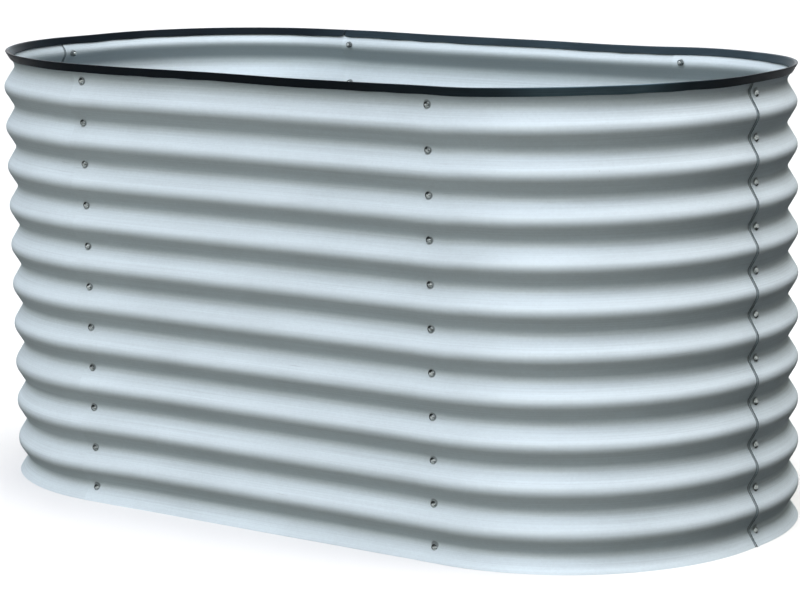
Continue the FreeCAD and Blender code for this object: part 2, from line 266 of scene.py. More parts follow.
# ---------------------------------------------------------------- finishes
@dataclass(frozen=True)
class RolledSheetFinish:
    """Aluminium-zinc coated sheet: satin, with fine streaks along the way it was rolled.

    Its undersides are duller, and grime sits round the bolts and along the open laps. The
    runs are lengths along the sheet's section, from the ground. The shade under the rim is
    how far below the top it starts and is full, and its share; the ring round a bolt and
    the line beside a lap are how far away each starts to fade and ends.
    """

    name: str
    inside: bool
    underside_shade: float
    seams: tuple[float, ...]
    open_seams: tuple[float, ...]
    valley_run: float
    wave_run: float
    top_run: float
    pale: Colour = (0.700, 0.796, 0.818)
    dull: Colour = (0.545, 0.619, 0.634)
    shade: Colour = (0.215, 0.262, 0.290)
    # The colour of real grime in the specks and scratches.
    grime_and_painted_shade: Colour = (0.20, 0.215, 0.215)
    painted_shadow: Colour = (0.030, 0.036, 0.040)
    metallic: float = 0.05
    roughness: float = 0.40
    gloss: float = 0.0
    relief: float = 0.06 * MM
    lap: float = 20.0 * MM
    rim_shade: tuple[float, float, float] = (46.0 * MM, 10.0 * MM, 0.22)
    bolt_shadow_ring: tuple[float, float] = (6.0 * MM, 8.8 * MM)
    lap_shade_line: tuple[float, float] = (0.5 * MM, 1.9 * MM)

    def dress(self) -> Material:
        """Build the material on the sheet's own UV map, u along the streaks.

        Returns:
            The material.
        """
        bench = Bench.for_finish(self.name)
        point = bench.sheet_point()
        fine = bench.streaks(point, (2.2, 420.0, 1.0), detail=3.0, rough=0.6)
        broad = bench.streaks(point, (0.8, 60.0, 1.0), (3.7, 1.3, 0.0))
        cloud = bench.streaks(point, (5.0, 9.0, 1.0), (0.4, 7.7, 0.0), 3.0, 0.55)
        grain = bench.noise(point, 900.0, 2.0, 0.7)
        cells = {"Vector": bench.stretched(point, (210.0, 300.0, 1.0)), "Scale": 1.0}
        flakes = bench.node("ShaderNodeTexVoronoi", {"feature": "F1"}, cells)
        flake = bench.parts(flakes.outputs["Color"], "Color")[0]
        tone = (fine - 0.5) * 1.25 + (broad - 0.5) * 0.6 + (cloud - 0.5) * 0.8
        tone = tone + (flake - 0.5) * 0.18 + (grain - 0.5) * 0.3
        base = bench.tint(0.45 - tone, self.pale, self.dull)
        # Painted shade: darker on the flanks that face down and below the rim edging.
        base = bench.tint(self._painted_underside_shade(bench, point), base, self.shade)
        # Painted shadow: near-black round each bolt, a little below it, and along each open lap.
        base = bench.tint(self._painted_contact_shadow(bench, point, cloud), base, self.painted_shadow)
        marks = self._specks(bench, point).at_least(self._scratches(bench, point))
        relief = fine * 0.5 + broad * 0.25 + cloud * 0.25 - marks * 0.6
        return bench.finish(
            Base_Color=bench.tint(marks, base, self.grime_and_painted_shade),
            Metallic=self.metallic,
            Roughness=self.roughness + tone * 0.16 + marks * 0.2,
            Specular_IOR_Level=self.gloss,
            Normal=bench.bump(relief, self.relief),
        )

    def _painted_underside_shade(self, bench: Bench, point: Socket) -> Reading:
        """Return how dull the sheet is: most half way up each flank that faces down.

        Args:
            bench: The graph.
            point: The place on the sheet.

        Returns:
            The share of dulling.
        """
        run = bench.parts(point)[1]
        turn = (run - self.valley_run) * (FULL_TURN / self.wave_run)
        facing = turn.sine() * (-1.0 if self.inside else 1.0)
        start, full, share = self.rim_shade
        near_top = bench.ramp(run, self.top_run - start, self.top_run - full) * share
        # Painted shade, strongest half way up the flanks that face down, plus a band under the rim.
        return bench.ramp(facing, -0.1, 0.9) * self.underside_shade + near_top

    def _painted_contact_shadow(self, bench: Bench, point: Socket, cloud: Reading) -> Reading:
        """Return the grime in the corners round bolts and beside lapped edges.

        Args:
            bench: The graph.
            point: The place on the sheet.
            cloud: Noise that makes the grime uneven.

        Returns:
            The share of grime.
        """
        place, run, _ = bench.parts(point)
        across, beside = (place - self.seams[0]).size(), place * 0.0 + 1.0
        for seam in self.seams[1:]:
            across = across.at_most((place - seam).size())
        for seam in self.open_seams:
            away = place - seam if self.inside else seam - place
            beside = beside.at_most((away - (self.lap + 0.8 * MM)).size())
        # The ring is centred 1 mm below the bolt, where the head's shadow falls: painted shadow.
        rise = (run - (self.valley_run - 1.0 * MM)).folded(self.wave_run)
        reach = across * across + rise * rise
        ring = 1.0 - bench.ramp(reach, *(radius**2 for radius in self.bolt_shadow_ring))
        line = 1.0 - bench.ramp(beside, *self.lap_shade_line)
        patch = bench.ramp(cloud, 0.30, 0.62) * 0.3
        strength = 0.4 if self.inside else 1.0
        return (ring * (patch + 0.30) * strength).at_least(line * (patch + 0.45))

    @staticmethod
    def _specks(bench: Bench, point: Socket) -> Reading:
        """Return sparse small specks, 1 to 2 mm across.

        Args:
            bench: The graph.
            point: The place on the sheet.

        Returns:
            The share of speck.
        """
        inputs = {"Vector": point, "Scale": 26.0, "Randomness": 1.0}
        cells = bench.node("ShaderNodeTexVoronoi", {"feature": "F1"}, inputs)
        chance = bench.parts(cells.outputs["Color"], "Color")[1]
        near = 1.0 - bench.ramp(bench.reading(cells, "Distance"), 0.016, 0.034)
        return near * chance.above(0.90) * 0.45

    @staticmethod
    def _scratches(bench: Bench, point: Socket) -> Reading:
        """Return rare hairline scratches at a slant.

        Args:
            bench: The graph.
            point: The place on the sheet.

        Returns:
            The share of scratch.
        """
        inputs = {"Vector": point, "Rotation": (0.0, 0.0, 0.5), "Scale": (9.0, 260.0, 1.0)}
        lines = bench.noise(bench.node("ShaderNodeMapping", None, inputs).outputs[0], 1.0, 1.0)
        where = bench.streaks(point, (6.0, 8.0, 1.0), (9.1, 4.2, 0.0), 1.0)
        return bench.ramp(lines, 0.735, 0.78) * bench.ramp(where, 0.55, 0.68) * 0.4


@dataclass(frozen=True)
class CutEdgeFinish:
    """The cut edge of the sheet."""

    name: str = "cut_edge"
    # The cut edge is drawn dark: painted shade for the dark lines at the lapped edges.
    pale: Colour = (0.20, 0.215, 0.22)
    dark: Colour = (0.06, 0.066, 0.07)

    def dress(self) -> Material:
        """Build the material on Object coordinates.

        Returns:
            The material.
        """
        bench = Bench.for_finish(self.name)
        shade = bench.noise(bench.place(), 240.0, 3.0, 0.6)
        colour = bench.tint(bench.ramp(shade, 0.35, 0.75), self.pale, self.dark)
        rough = shade * 0.3 + 0.3
        return bench.finish(Base_Color=colour, Metallic=0.1, Roughness=rough, Specular_IOR_Level=0.1)


@dataclass(frozen=True)
class EdgingFinish:
    """Black rubber-like extrusion with fine lengthwise draw lines, bleached in some stretches.

    The bleached stretches are pairs of a place along the strip in metres and a share.
    """

    name: str = "edging_rubber"
    black: Colour = (0.0034, 0.0056, 0.0082)
    slate: Colour = (0.0062, 0.0102, 0.0138)
    painted_highlight: Colour = (0.100, 0.155, 0.185)
    roughness: float = 0.50
    gloss: float = 0.02
    girth: float = 4.05
    highlight_stretches: tuple[tuple[float, float], ...] = (
        (0.00, 0.10), (0.10, 0.02), (0.60, 0.00), (0.76, 0.02), (0.83, 0.12), (0.87, 0.34),
        (0.91, 0.04), (1.10, 0.00), (1.80, 0.00), (2.00, 0.08), (2.14, 0.25), (2.21, 0.80),
        (2.37, 0.95), (2.45, 0.20), (2.54, 0.00), (2.76, 0.00), (2.85, 0.20), (3.00, 0.24),
        (3.70, 0.19), (3.90, 0.17), (4.05, 0.15),
    )

    def dress(self) -> Material:
        """Build the material on the strip's own UV map, u along the strip.

        Returns:
            The material.
        """
        bench = Bench.for_finish(self.name)
        point = bench.sheet_point()
        lines = bench.streaks(point, (1.6, 900.0, 1.0), detail=3.0, rough=0.6)
        patches = bench.streaks(point, (14.0, 60.0, 1.0), (2.0, 5.0, 0.0), 3.0)
        share = bench.ramp(lines * 0.6 + patches * 0.4, 0.36, 0.66)
        colour = bench.tint(share, self.black, self.slate)
        place = bench.parts(point)[0]
        stops = [(place_at / self.girth, (level, level, level)) for place_at, level in self.highlight_stretches]
        share_round = {0: place * (1 / self.girth)}
        highlight_share = bench.reading(bench.node("ShaderNodeValToRGB", {"stops": stops}, share_round))
        # Painted highlight: paler stretches along the strip, standing for light caught on the rubber.
        colour = bench.tint(highlight_share * (share * 0.4 + 0.75), colour, self.painted_highlight)
        return bench.finish(
            Base_Color=colour,
            Metallic=0.0,
            Specular_IOR_Level=self.gloss,
            Roughness=self.roughness + (patches - 0.5) * 0.25,
            Normal=bench.bump(lines * 0.7 + patches * 0.3, 0.00012, 0.8),
        )


@dataclass(frozen=True)
class ZincFinish:
    """Zinc plating on the straps."""

    name: str
    bright: Colour = (0.47, 0.50, 0.51)
    dull: Colour = (0.27, 0.29, 0.30)
    metallic: float = 0.35
    roughness: float = 0.36
    grain: float = 60.0

    def dress(self) -> Material:
        """Build the material on Object coordinates.

        Returns:
            The material.
        """
        bench = Bench.for_finish(self.name)
        place = bench.place()
        cloud = bench.noise(place, self.grain, 3.0, 0.6)
        streak = bench.streaks(place, (30.0, 700.0, 700.0))
        share = bench.ramp(cloud * 0.65 + streak * 0.35, 0.35, 0.68)
        colour = bench.tint(share, self.bright, self.dull)
        return bench.finish(
            Base_Color=colour,
            Metallic=self.metallic,
            Roughness=self.roughness + (cloud - 0.5) * 0.3,
            Normal=bench.bump(cloud * 0.6 + streak * 0.4, 0.00004, 0.8),
        )


@dataclass(frozen=True)
class BoltFinish:
    """Zinc plating on bolts, washers and nuts, with a crescent of grime round each domed head."""

    name: str = "bolt_zinc"
    bright: Colour = (0.56, 0.61, 0.60)
    dull: Colour = (0.15, 0.175, 0.172)
    grime_and_painted_shade: Colour = (0.008, 0.010, 0.010)
    metallic: float = 0.35
    roughness: float = 0.30
    gloss: float = 0.08
    ring: tuple[float, float, float, float] = (0.0010, 0.0026, 0.0070, 0.0080)

    def dress(self) -> Material:
        """Build the material: grain on Object coordinates, the crescent on the UV map.

        The map's u is the turn from the grimy side, in turns, and its v the way from the
        head's middle along the profile, in metres.

        Returns:
            The material.
        """
        bench = Bench.for_finish(self.name)
        place = bench.place()
        grain = bench.noise(place, 700.0, 2.0, 0.6)
        patches = bench.noise(place, 170.0, 2.0, 0.5)
        turn, way, _ = bench.parts(bench.sheet_point())
        start, full, fade, stop = self.ring
        ring = bench.ramp(way, start, full) * (1.0 - bench.ramp(way, fade, stop))
        side = bench.ramp((turn * FULL_TURN).cosine() + (patches - 0.5) * 1.6, -0.75, 0.35)
        colour = bench.tint(bench.ramp(grain * 0.5 + patches * 0.5, 0.38, 0.66), self.bright, self.dull)
        # Painted shade: the crescent darkens one side of the dome's rim, where it would lie in shade
        # and reflect darkness.
        colour = bench.tint(ring * side * 0.97, colour, self.grime_and_painted_shade)
        return bench.finish(
            Base_Color=colour,
            Metallic=self.metallic,
            Specular_IOR_Level=self.gloss,
            Roughness=self.roughness + (patches - 0.5) * 0.3 + ring * side * 0.3,
            Normal=bench.bump(grain * 0.6 + patches * 0.4, 0.00004, 0.8),
        )


# ---------------------------------------------------------------- the form of the sheet
def ease(value: Array, low: float, high: float) -> Array:
    """Return 0 below low, 1 above high, and a smooth step between them."""
    share = np.clip((value - low) / (high - low), 0.0, 1.0)
    return share * share * (3 - 2 * share)


def run_along(first: Array, second: Array) -> Array:
    """Return the length of a line up to each of its points, from their two coordinates."""
    return np.concatenate([[0.0], np.cumsum(np.hypot(np.diff(first), np.diff(second)))])


def way_from(along: Array, place: float, girth: float) -> Array:
    """Return the signed way from a place by the shorter way round."""
    return (along - place + girth / 2) % girth - girth / 2


@dataclass(frozen=True)
class WaveForm:
    """The corrugation: arcs at valleys and crests, joined by straight flanks.

    Offsets are outwards, from the outer surface in the valleys.
    """

    pitch: float = 76.2 * MM
    depth: float = 17.5 * MM
    valley_radius: float = 13.0 * MM
    crest_radius: float = 20.0 * MM
    first_valley: float = 31.0 * MM
    thickness: float = 0.6 * MM
    height: float = 822.0 * MM
    lap_gap: float = 0.15 * MM
    rows_to_a_wave: int = 24

    @property
    def lean(self) -> float:
        """Return the angle between the flank and the upright, in radians."""
        radii = self.valley_radius + self.crest_radius
        overlap = radii - self.depth
        distance = math.hypot(self.pitch / 2, overlap)
        return math.asin(radii / distance) - math.atan2(overlap, self.pitch / 2)

    @property
    def layer(self) -> float:
        """Return how far one lapped sheet lies outside the next."""
        return (self.thickness + self.lap_gap) / math.cos(self.lean)

    def from_valley(self, height: Array) -> Array:
        """Return the signed distance in height from the nearest valley."""
        return (height - self.first_valley + self.pitch / 2) % self.pitch - self.pitch / 2

    def slope(self, height: Array) -> Array:
        """Return the lean of the surface, in radians.

        In words: on an arc the sine of the lean is the height from the arc's middle over
        its radius, and between two arcs the lean is the flank's.

        Args:
            height: Heights above the ground.

        Returns:
            The lean, positive where the surface goes outwards with height.
        """
        fold = self.from_valley(height)
        on_valley = np.abs(fold) / self.valley_radius
        on_crest = (self.pitch / 2 - np.abs(fold)) / self.crest_radius
        sine = np.minimum(np.minimum(on_valley, on_crest), math.sin(self.lean))
        return np.sign(fold) * np.arcsin(sine)

    def middle(self, height: Array) -> Array:
        """Return the offset of the sheet's middle surface.

        In words: a valley arc is its centre less the arc's rise, a crest arc its centre plus
        the rise, and a flank is the straight line between the arcs' ends.

        Args:
            height: Heights above the ground.

        Returns:
            The offsets.
        """
        fold = np.abs(self.from_valley(height))
        from_crest = self.pitch / 2 - fold
        reach, rise = (self.valley_radius * turn(self.lean) for turn in (math.sin, math.cos))
        crest_reach, crest_rise = (self.crest_radius * turn(self.lean) for turn in (math.sin, math.cos))
        valley_centre = self.valley_radius - self.thickness / 2
        crest_centre = self.depth - self.crest_radius - self.thickness / 2
        valley = valley_centre - np.sqrt(np.maximum(self.valley_radius**2 - fold**2, rise**2))
        crest = crest_centre + np.sqrt(np.maximum(self.crest_radius**2 - from_crest**2, crest_rise**2))
        flank = valley_centre - rise + (fold - reach) * math.tan(self.lean)
        return np.where(fold <= reach, valley, np.where(from_crest <= crest_reach, crest, flank))

    def surface(self, height: Array, growth: float) -> Array:
        """Return the offset of a surface that lies outside the middle one by the growth."""
        return self.middle(height) + growth / np.cos(self.slope(height))

    def heights(self) -> Array:
        """Return the heights of the mesh rows, from the ground to the rim."""
        step = self.pitch / self.rows_to_a_wave
        inner = np.arange(self.first_valley % step, self.height, step)
        return np.unique(np.round(np.concatenate([[0.0], inner, [self.height]]), 7))

    def along(self, height: Array) -> Array:
        """Return the length of the section's line up to each height."""
        return run_along(height, self.middle(height))


@dataclass(frozen=True)
class Leg:
    """One part of a route round the bed: a straight, or an arc to the left."""

    length: float
    turn: float = 0.0


@dataclass(frozen=True)
class Route:
    """A line round the bed in plan, walked anticlockwise, so that outwards is to the right."""

    start: tuple[float, float]
    heading: float
    legs: tuple[Leg, ...]

    @property
    def length(self) -> float:
        """Return the length of the whole route."""
        return sum(leg.length for leg in self.legs)

    def place(self, distance: Array) -> tuple[Array, Array]:
        """Return points and outward directions at distances along the route.

        In words: on a straight the point moves along the heading; on an arc of radius
        length over turn the heading grows evenly and the point swings round the centre.

        Args:
            distance: Distances from the start, held to the route.

        Returns:
            Points (n, 2) and outward unit directions (n, 2).
        """
        points = np.zeros((len(distance), 2))
        heading = np.full(len(distance), self.heading)
        walked, place, course = 0.0, np.array(self.start), self.heading
        for number, leg in enumerate(self.legs):
            last = number == len(self.legs) - 1
            here = (distance >= walked) & ((distance < walked + leg.length) | last)
            points[here], heading[here] = self._on_leg(leg, place, course, distance[here] - walked)
            ends, courses = self._on_leg(leg, place, course, np.array([leg.length]))
            walked, place, course = walked + leg.length, ends[0], float(courses[0])
        return points, np.stack([np.sin(heading), -np.cos(heading)], axis=1)

    @staticmethod
    def _on_leg(leg: Leg, place: Array, course: float, gone: Array) -> tuple[Array, Array]:
        """Return points and headings on one leg.

        Args:
            leg: The leg.
            place: Its first point.
            course: Its first heading.
            gone: Distances along the leg.

        Returns:
            Points (n, 2) and headings (n,).
        """
        if leg.turn == 0.0:
            way = np.array([math.cos(course), math.sin(course)])
            return place + gone[:, None] * way, np.full(len(gone), course)
        radius = leg.length / leg.turn
        heading = course + leg.turn * gone / leg.length
        swing = [np.sin(heading) - math.sin(course), math.cos(course) - np.cos(heading)]
        return place + radius * np.stack(swing, axis=1), heading

    def opposite(self) -> "Route":
        """Return the route turned by 180 degrees about the bed's middle."""
        return Route((-self.start[0], -self.start[1]), self.heading + HALF_TURN, self.legs)


@dataclass(frozen=True)
class Oval:
    """The bed's plan, over the valleys of the corrugation."""

    half_length: float = 782.0 * MM
    half_width: float = 385.0 * MM
    corner_radius: float = 364.0 * MM
    lap: float = 20.0 * MM
    end_seam: float = 9.0 * MM
    outer_seam: float = 385.0 * MM
    inner_seam: float = 402.0 * MM

    @property
    def bend_start(self) -> float:
        """Return the X at which the corners start to bend."""
        return self.half_length - self.corner_radius

    @property
    def end_flat(self) -> float:
        """Return the half length of the straight at the bed's ends."""
        return self.half_width - self.corner_radius

    @property
    def bend_length(self) -> float:
        """Return the length of one corner's arc."""
        return self.corner_radius * QUARTER_TURN

    @property
    def half_girth(self) -> float:
        """Return half the way round the bed."""
        return 2 * self.bend_start + 2 * self.bend_length + 2 * self.end_flat

    @property
    def girth(self) -> float:
        """Return the whole way round the bed."""
        return 2 * self.half_girth

    def side(self) -> Route:
        """Return the route of the front side panel."""
        start = -self.inner_seam - self.lap
        return Route((start, -self.half_width), 0.0, (Leg(self.outer_seam + self.lap - start),))

    def side_first_corner(self, layer: float) -> Route:
        """Return the route of the corner panel that follows the front side panel.

        Args:
            layer: How far its side lies outside the side panel.

        Returns:
            The route.
        """
        start = self.outer_seam - self.lap
        end_straight = self.end_flat + layer + self.end_seam + self.lap
        legs = (
            Leg(self.bend_start - start),
            Leg(self.bend_length, QUARTER_TURN),
            Leg(end_straight),
        )
        return Route((start, -self.half_width - layer), 0.0, legs)

    def end_first_corner(self, layer: float) -> Route:
        """Return the route of the corner panel from the right end to the back side.

        Args:
            layer: How far its end lies outside, and its side inside, the panels it meets.

        Returns:
            The route.
        """
        start = self.end_seam - self.lap
        legs = (
            Leg(self.end_flat - layer - start),
            Leg(self.bend_length, QUARTER_TURN),
            Leg(self.bend_start + layer - self.inner_seam + self.lap),
        )
        return Route((self.half_length + layer, start), QUARTER_TURN, legs)

    def rim(self, joint: float, gap: float) -> Route:
        """Return the whole way round from a joint on the back side.

        Args:
            joint: The X of the joint's middle.
            gap: The joint's width.

        Returns:
            The route.
        """
        bend = Leg(self.bend_length, QUARTER_TURN)
        end, side = Leg(2 * self.end_flat), Leg(2 * self.bend_start)
        first = Leg(self.bend_start + joint - gap / 2)
        last = Leg(self.bend_start - joint - gap / 2)
        start = (joint - gap / 2, self.half_width)
        return Route(start, HALF_TURN, (first, bend, end, bend, side, bend, end, bend, last))


@dataclass(frozen=True)
class Hang:
    """How the wall departs from its drawing: slow waviness, an uneven rim, and waves that wander.

    Places on the way round are in metres, rises and lifts in millimetres; each row of the
    lifts starts with its place. A bulge is its place, its reach to both sides, and how far
    it stands out at the foot and at the top. A ripple is its strength, its rates round the
    bed and up the wall, and where it starts.
    """

    wave: float = 0.55 * MM
    ripples: tuple[tuple[float, float, float, float], ...] = (
        (0.6, 17.3, 4.1, 2.0),
        (0.35, 31.0, -9.7, 0.0),
    )
    seam_reach: float = 90.0 * MM
    rim_places: tuple[float, ...] = (
        -0.47, -0.39, -0.30, -0.07, 0.10, 0.21, 0.30, 0.36, 0.46, 0.50, 0.57, 0.64, 0.70, 0.81,
        0.85, 0.93, 1.05, 1.25, 1.45, 1.60, 1.69, 1.79, 1.93, 2.22, 2.36, 2.45, 2.55, 2.88,
        2.98, 3.03, 3.20, 3.50,
    )
    rim_rises: tuple[float, ...] = (
        3.5, 2.3, 1.5, 2.3, 0.9, 1.3, 2.0, 2.9, 2.9, 4.0, 5.5, 6.3, 6.8, 6.8,
        6.2, 4.9, 4.9, 2.0, -2.3, -3.0, -5.1, -5.7, -4.4, -4.0, -2.5, -3.2, -2.5, 0.0,
        -0.5, 1.5, 4.5, 4.5,
    )
    bulges: tuple[tuple[float, float, float, float], ...] = (
        (-0.75, 0.27, 6.4, 4.8),
        (1.27, 0.22, 6.6, -1.0),
    )
    rim_foot: tuple[float, float] = (770.0 * MM, 812.0 * MM)
    blend: float = 0.05
    row_heights: tuple[float, ...] = (0.0, 60.0, 183.0, 300.0, 560.0, 780.0)
    row_lifts: tuple[tuple[float, ...], ...] = (
        (-0.60, 7.5, 0.6, 0.8, 2.0, 2.4, 3.0),
        (-0.50, 7.5, 0.3, 1.5, 2.0, 2.2, 2.6),
        (-0.43, 7.5, 1.6, 2.0, 1.2, 0.4, -0.4),
        (-0.30, 7.2, 3.9, 2.5, 0.4, -0.5, -0.8),
        (0.10, 7.5, 4.4, 2.4, 0.4, -0.3, -0.3),
        (0.42, 7.5, 3.7, 2.4, 0.8, 0.0, 0.2),
        (0.46, 7.5, 3.2, 2.4, 1.9, 2.3, 2.2),
        (0.59, 7.5, 3.1, 2.7, 1.9, 2.6, 3.0),
        (0.71, 7.5, 3.9, 3.4, 3.0, 3.2, 4.1),
        (0.95, 7.0, 4.8, 4.4, 3.0, 3.4, 4.6),
        (1.03, 7.5, 2.4, 2.2, 2.0, 2.1, 2.8),
        (1.20, 7.5, 2.7, 2.5, 2.4, 2.6, 3.0),
        (1.46, 7.5, 3.0, 0.0, 0.0, 0.0, -1.0),
        (1.62, 7.5, 3.0, -0.5, -1.0, -2.5, -4.0),
        (2.36, 7.5, 3.0, -0.5, -1.0, -2.5, -4.2),
        (2.46, 7.5, 3.0, 0.0, 0.0, -0.5, -1.0),
        (2.64, 7.5, 3.0, 0.0, 0.0, 0.0, 0.3),
        (2.88, 7.5, 3.0, 0.0, 0.5, 1.5, 3.0),
        (3.20, 7.5, 3.0, 0.0, 0.5, 1.5, 3.0),
    )

    def warp(self, along: Array, height: Array, seams: Array, girth: float) -> Array:
        """Return the wall's departure outwards.

        In words: three slow sines of place and height, faded to nothing at every seam, and
        bulges that are a squared cosine along the wall, straight in height, and nothing at
        the rim.

        Args:
            along: The way round the bed.
            height: Heights, in an array that broadcasts with along.
            seams: The seams' places on the way round.
            girth: The whole way round.

        Returns:
            The departures.
        """
        near = np.min([np.abs(way_from(along, seam, girth)) for seam in seams], axis=0)
        fade = 1 - np.exp(-((near / self.seam_reach) ** 2))
        slow = np.sin(along * 9.1 + 0.4) * np.sin(height * 6.2 + 1.1)
        middle, quick = (
            strength * np.sin(along * round_rate + height * up_rate + start)
            for strength, round_rate, up_rate, start in self.ripples
        )
        free = 1 - ease(height, *self.rim_foot)
        swell = np.zeros(np.broadcast_shapes(along.shape, height.shape))
        for place, reach, foot, top in self.bulges:
            away = np.clip(way_from(along, place, girth) / reach, -1, 1)
            out = foot + (top - foot) * height / self.rim_foot[0]
            swell = swell + np.cos(away * QUARTER_TURN) ** 2 * free * out * MM
        return self.wave * fade * (slow + middle + quick) + swell

    def rim_rise(self, along: Array, girth: float) -> Array:
        """Return how far the rim stands above its drawn height.

        In words: straight lines between the measured places round the rim, averaged over
        the blend on both sides.

        Args:
            along: The way round the bed.
            girth: The whole way round.

        Returns:
            The rises.
        """
        shifts = np.linspace(-self.blend, self.blend, 11)
        weights = 1 - np.abs(shifts) / (1.2 * self.blend)
        near = np.asarray(along)[..., None] + shifts
        rises = np.interp(near, self.rim_places, np.array(self.rim_rises) * MM, period=girth)
        return rises @ (weights / weights.sum())

    def row_lift(self, along: Array, height: Array, girth: float) -> Array:
        """Return how far the waves stand above the drawn ones.

        In words: a measured table of lifts by place and height, read along straight lines
        in both directions.

        Args:
            along: The way round the bed (n, 1).
            height: Heights (1, m).
            girth: The whole way round.

        Returns:
            The lifts (n, m).
        """
        table = np.array(self.row_lifts)
        columns = [np.interp(along[:, 0], table[:, 0], lifts, period=girth) for lifts in table[:, 1:].T]
        knots = np.array(self.row_heights) * MM
        hats = np.stack([np.interp(height[0], knots, peak) for peak in np.eye(len(knots))])
        return np.stack(columns, axis=1) @ hats * MM


# ---------------------------------------------------------------- meshes from grids
def stations(length: float, near: Array, step: float) -> Array:
    """Return distances along a length, closer together at both ends.

    Args:
        length: The whole length.
        near: The first distances, up to where the even ones start.
        step: About how far the even ones are apart.

    Returns:
        The distances.
    """
    count = int((length - 2 * near[-1]) / step)
    middle = np.linspace(near[-1], length - near[-1], count)[1:-1]
    return np.concatenate([near, middle, (length - near)[::-1]])


def stand(foot: Array, outward: Array, offset: Array, height: Array) -> Array:
    """Return a grid: the points of a line in plan, moved outwards by the offset, at the height."""
    plan = foot[:, None, :] + outward[:, None, :] * offset[..., None]
    return np.concatenate([plan, height[..., None]], axis=-1)


def link(name: str, data: bpy.types.ID) -> bpy.types.Object:
    """Make an object of the scene.

    Args:
        name: Its name.
        data: Its mesh, lamp or camera.

    Returns:
        The object.
    """
    made = bpy.data.objects.new(name, data)
    bpy.context.scene.collection.objects.link(made)
    return made


class GridMesh:
    """A mesh put together from grids of points."""

    def __init__(self) -> None:
        """Start with no points."""
        self.points: list[Array] = []
        self.quads: list[Array] = []
        self.maps: list[Array] = []
        self.marks: list[Array] = []
        self.count = 0

    def add(
        self,
        points: Array,
        uv: Optional[Array] = None,
        mark: int = 0,
        inward: bool = False,
        loop_rows: bool = False,
        loop_columns: bool = False,
    ) -> None:
        """Add one grid of quads, whose normal is the row direction times the column direction.

        Args:
            points: Points (rows, columns, 3).
            uv: The map in metres (rows, columns, 2), or None for plain zeros.
            mark: The material slot.
            inward: Whether the faces are turned round.
            loop_rows: Whether the last row joins the first.
            loop_columns: Whether the last column joins the first.
        """
        rows, columns = points.shape[:2]
        if uv is None:
            uv = np.zeros((rows, columns, 2))
        index = np.arange(rows * columns).reshape(rows, columns) + self.count
        last_row = rows if loop_rows else rows - 1
        last_column = columns if loop_columns else columns - 1
        row, column = np.meshgrid(np.arange(last_row), np.arange(last_column), indexing="ij")
        next_row, next_column = (row + 1) % rows, (column + 1) % columns
        corners = [(row, column), (next_row, column), (next_row, next_column), (row, next_column)]
        if inward:
            corners.reverse()
        quads = np.stack([index[r, c] for r, c in corners], axis=-1).reshape(-1, 4)
        mapped = np.stack([uv[r, c] for r, c in corners], axis=-2).reshape(-1, 4, 2)
        self.points.append(points.reshape(-1, 3))
        self.quads.append(quads)
        self.maps.append(mapped)
        self.marks.append(np.full(len(quads), mark))
        self.count += rows * columns

    def add_copies(self, draft: "GridMesh", frames: Array, origins: Array) -> None:
        """Add copies of a draft.

        Args:
            draft: What is copied.
            frames: One 3 x 3 matrix to a copy (n, 3, 3), whose columns are the local axes.
            origins: One origin to a copy (n, 3).
        """
        points, quads = np.concatenate(draft.points), np.concatenate(draft.quads)
        copies = len(frames)
        placed = np.einsum("nij,pj->npi", frames, points) + origins[:, None, :]
        shifts = np.arange(copies)[:, None, None] * len(points) + self.count
        self.points.append(placed.reshape(-1, 3))
        self.quads.append((quads[None] + shifts).reshape(-1, 4))
        self.maps.append(np.tile(np.concatenate(draft.maps), (copies, 1, 1)))
        self.marks.append(np.tile(np.concatenate(draft.marks), copies))
        self.count += copies * len(points)

    def build(self, name: str, finishes: list[Material], crease: float = 40.0) -> bpy.types.Object:
        """Make the object, join points that meet and shade it smooth up to the crease angle.

        Args:
            name: The piece's name.
            finishes: Its materials, in the order of the marks.
            crease: The angle in degrees past which an edge stays sharp.

        Returns:
            The object, linked to the scene.
        """
        points, quads = np.concatenate(self.points), np.concatenate(self.quads)
        mesh = bpy.data.meshes.new(name)
        mesh.vertices.add(len(points))
        mesh.vertices.foreach_set("co", points.astype(np.float32).ravel())
        mesh.loops.add(quads.size)
        mesh.loops.foreach_set("vertex_index", quads.astype(np.int32).ravel())
        mesh.polygons.add(len(quads))
        mesh.polygons.foreach_set("loop_start", np.arange(0, quads.size, 4, dtype=np.int32))
        mesh.polygons.foreach_set("material_index", np.concatenate(self.marks).astype(np.int32))
        mesh.update(calc_edges=True)
        layer = mesh.uv_layers.new(name="surface")
        layer.data.foreach_set("uv", np.concatenate(self.maps).astype(np.float32).ravel())
        for finish in finishes:
            mesh.materials.append(finish)
        shell = bmesh.new()
        shell.from_mesh(mesh)
        bmesh.ops.remove_doubles(shell, verts=shell.verts, dist=2e-6)
        bmesh.ops.dissolve_degenerate(shell, edges=shell.edges, dist=1e-7)
        shell.to_mesh(mesh)
        shell.free()
        mesh.shade_smooth()
        mesh.set_sharp_from_angle(angle=math.radians(crease))
        return link(name, mesh)


def settle(piece: bpy.types.Object, slot: str, *nodes: str) -> None:
    """Let a piece ride on the bed, take a slot and stand for CAD nodes, and report it.

    Args:
        piece: The piece.
        slot: The record's material slot.
        nodes: The nodes that it stands for.
    """
    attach(piece, "root")
    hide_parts(*nodes)
    triangles = sum(len(face.vertices) - 2 for face in piece.data.polygons)
    LOG.info("%s: %d triangles, stands for %s", piece.name, triangles, ", ".join(nodes))


# ---------------------------------------------------------------- the wall
class Corner(Enum):
    """Which way a panel's route goes."""

    SIDE = "side"
    SIDE_FIRST = "side first"
    END_FIRST = "end first"


